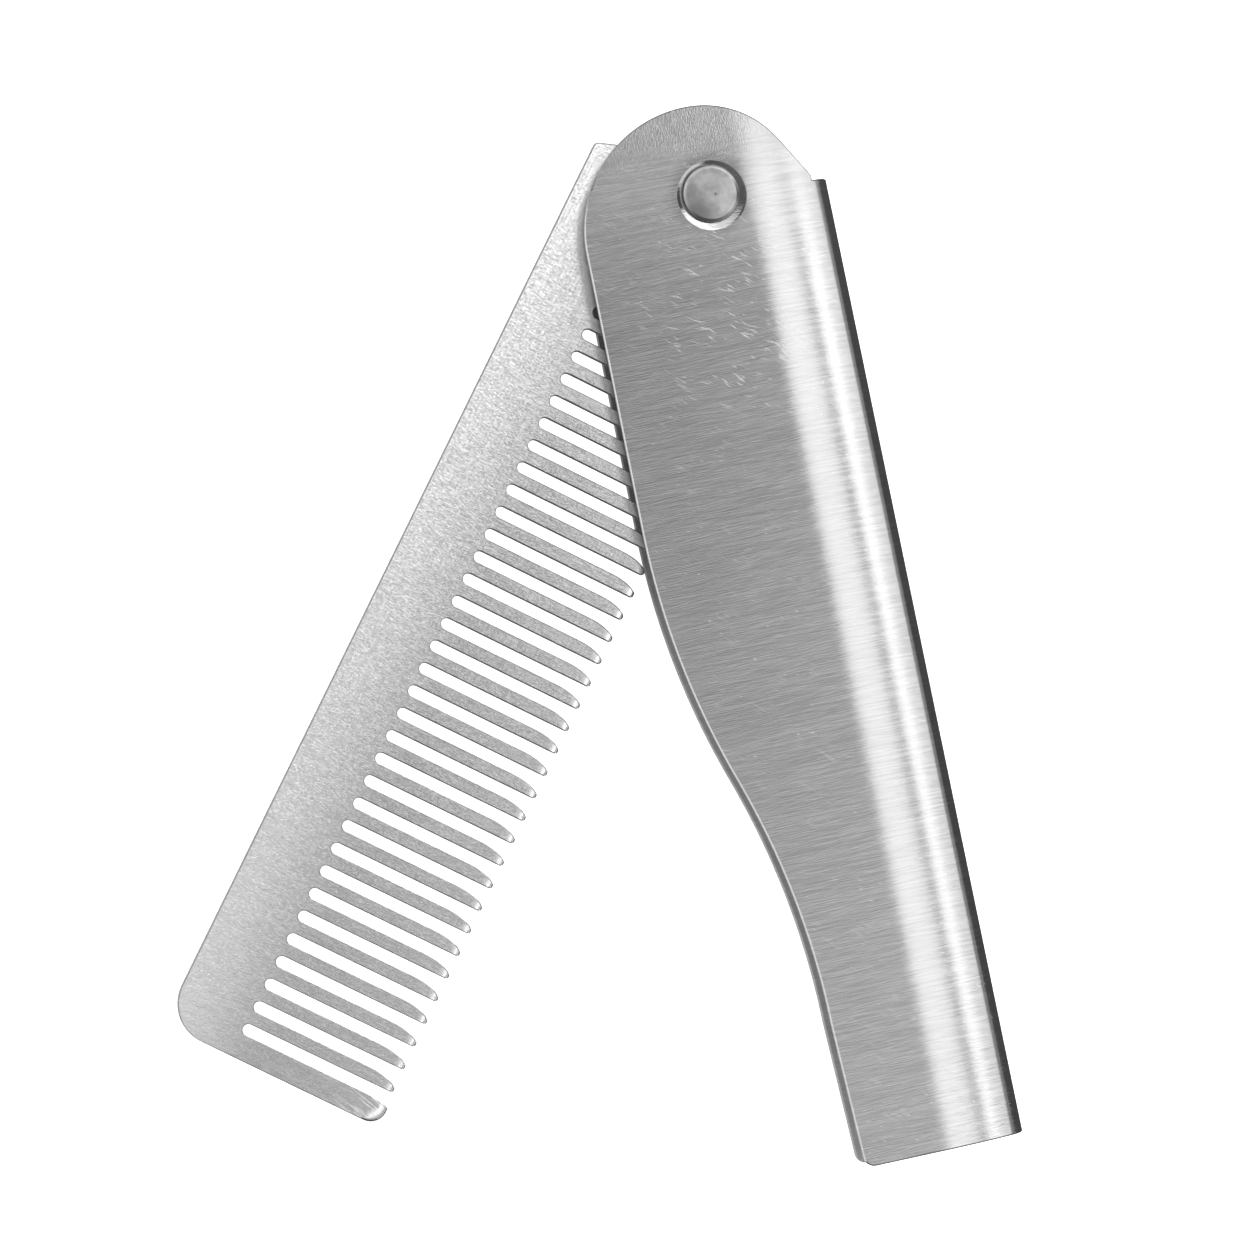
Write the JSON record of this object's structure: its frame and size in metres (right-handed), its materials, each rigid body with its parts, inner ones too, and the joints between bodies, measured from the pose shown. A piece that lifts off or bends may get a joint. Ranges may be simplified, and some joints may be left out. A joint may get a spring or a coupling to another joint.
{
  "type": "folding beard comb",
  "caption": "Folding pocket beard comb: a toothed steel blade turns on a flush rivet inside a handle folded from one sheet of brushed steel.",
  "frame": {"origin": "on the pivot's axis, on the plane of the rear wall's outer face, which the comb lies on", "axes": "+Z out of the front wall, along the pivot; -Y along the handle from the pivot to its free end; +X towards the rounded spine, so the handle is open on its -X side"},
  "size_m": [0.0825, 0.1103, 0.006],
  "materials": {
    "handle_steel": "stainless sheet brushed across the handle, with light scuffs",
    "blade_steel": "stainless sheet brushed across the blade, satin",
    "rivet_steel": "turned stainless, satin, with a bright chamfer",
    "spacer_nylon": "black nylon",
    "spring_steel": "dark spring steel"
  },
  "bodies": {
    "handle": {"handle_case": "handle_steel", "rivet_post": "rivet_steel", "rivet_barrel": "rivet_steel", "front_spacer": "spacer_nylon", "disc_spring": "spring_steel", "rear_spacer": "spacer_nylon"},
    "comb": {"comb_blade": "blade_steel"}
  },
  "joints": [
    {"name": "blade_pivot", "type": "hinge", "parent": "handle", "child": "comb", "pos_m": [0, 0, 0.003], "axis": [0, 0, -1], "range_deg": [-37.6, 142.4]}
  ]
}
